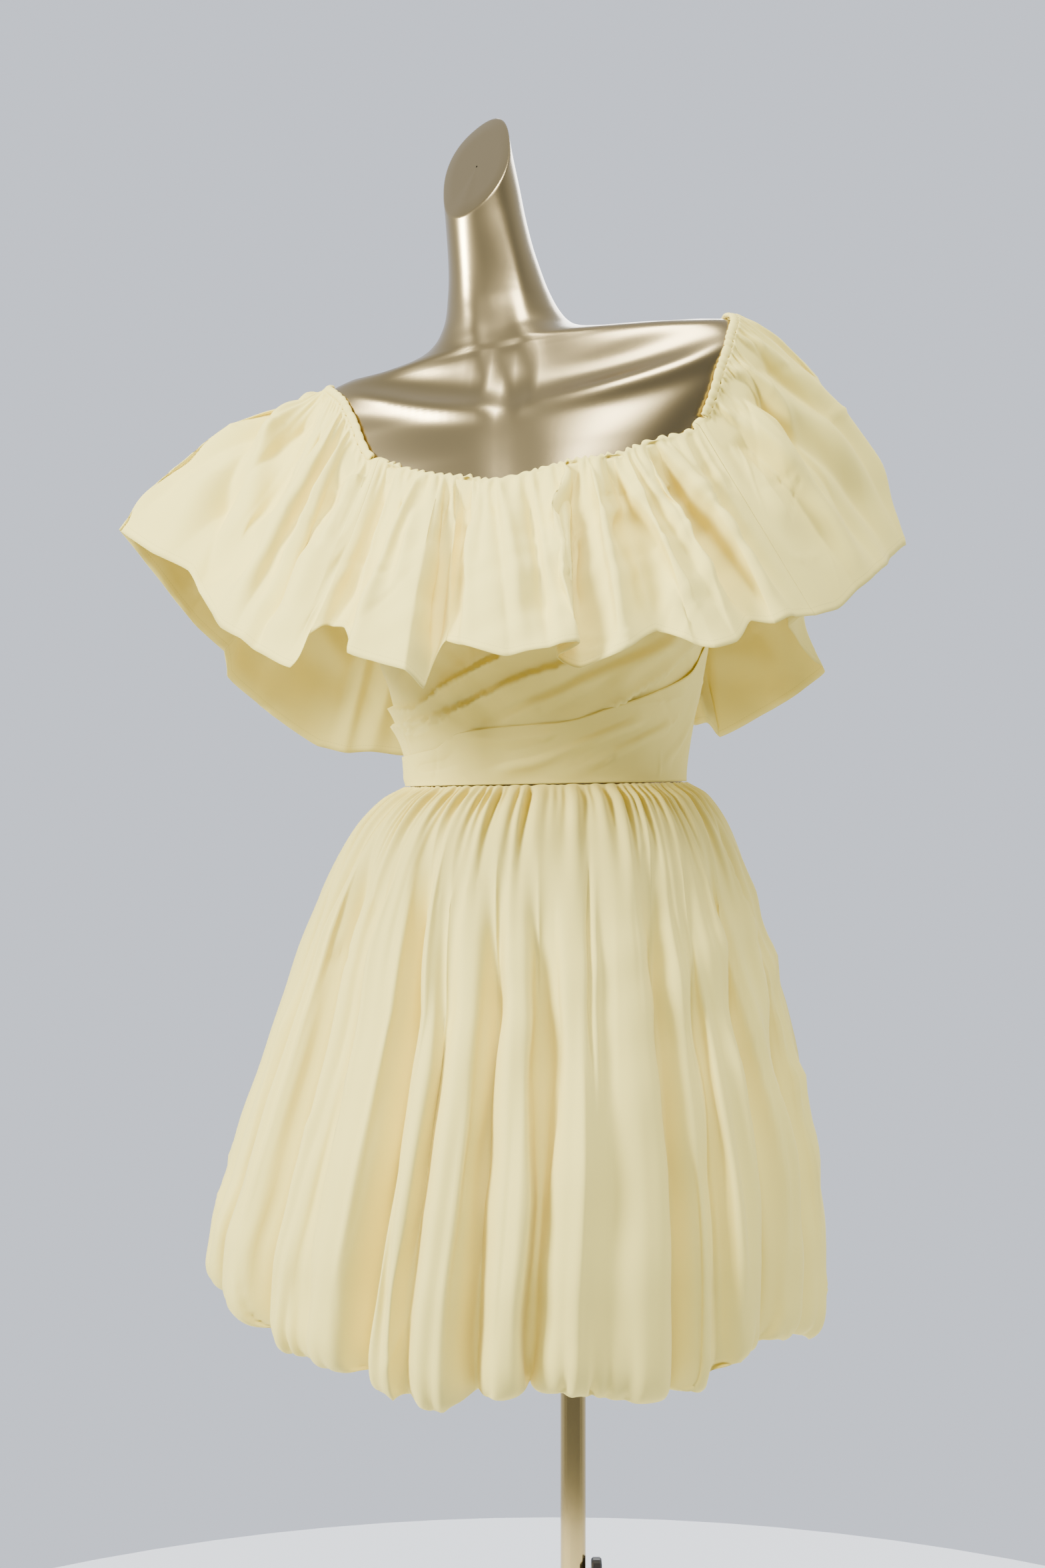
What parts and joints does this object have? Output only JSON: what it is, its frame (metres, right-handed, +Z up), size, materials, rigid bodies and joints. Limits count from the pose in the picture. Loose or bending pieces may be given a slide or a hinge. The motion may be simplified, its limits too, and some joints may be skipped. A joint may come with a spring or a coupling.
{
  "type": "off-shoulder dress on a dress form",
  "caption": "Short off-shoulder dress with a deep ruffle, a wrapped bodice and a full gathered bubble skirt, shown on a limbless dress form on a pole stand.",
  "frame": {"origin": "centre of the base plate's underside, on the floor and on the pole's axis", "axes": "+Z up along the pole, -Y toward the front of the dress, +X toward the viewer's right"},
  "size_m": [0.6815, 0.5257, 1.6479],
  "materials": {
    "yellow_cotton": "crisp matt cotton",
    "champagne_gold": "satin metallic paint on a moulded shell",
    "polished_gold": "polished gold plating on steel",
    "black_plastic": "matt black"
  },
  "bodies": {
    "base": {"base_plate": "polished_gold", "lower_tube": "polished_gold", "lock_boss": "polished_gold"},
    "knob": {"lock_knob": "black_plastic"},
    "pole": {"upper_pole": "polished_gold"},
    "dressed_form": {"pole_socket": "polished_gold", "form_body": "champagne_gold", "bodice_front": "yellow_cotton", "bodice_wrap": "yellow_cotton", "bodice_back": "yellow_cotton", "skirt_front": "yellow_cotton", "skirt_back": "yellow_cotton", "sleeve_flounce_left": "yellow_cotton", "flounce_front": "yellow_cotton", "sleeve_flounce_right": "yellow_cotton", "flounce_back": "yellow_cotton", "neck_casing_left": "yellow_cotton", "neck_casing_right": "yellow_cotton"}
  },
  "joints": [
    {"name": "height_slide", "type": "slide", "parent": "base", "child": "pole", "axis": [0, 0, 1], "range_m": [-0.08, 0.2]},
    {"name": "form_turn", "type": "hinge", "parent": "pole", "child": "dressed_form", "pos_m": [0, 0, 0.79], "axis": [0, 0, 1], "range_deg": [-180, 180]},
    {"name": "knob_turn", "type": "hinge", "parent": "base", "child": "knob", "pos_m": [0.0204, 0, 0.3775], "axis": [1, 0, 0], "range_deg": [0, 270]}
  ]
}
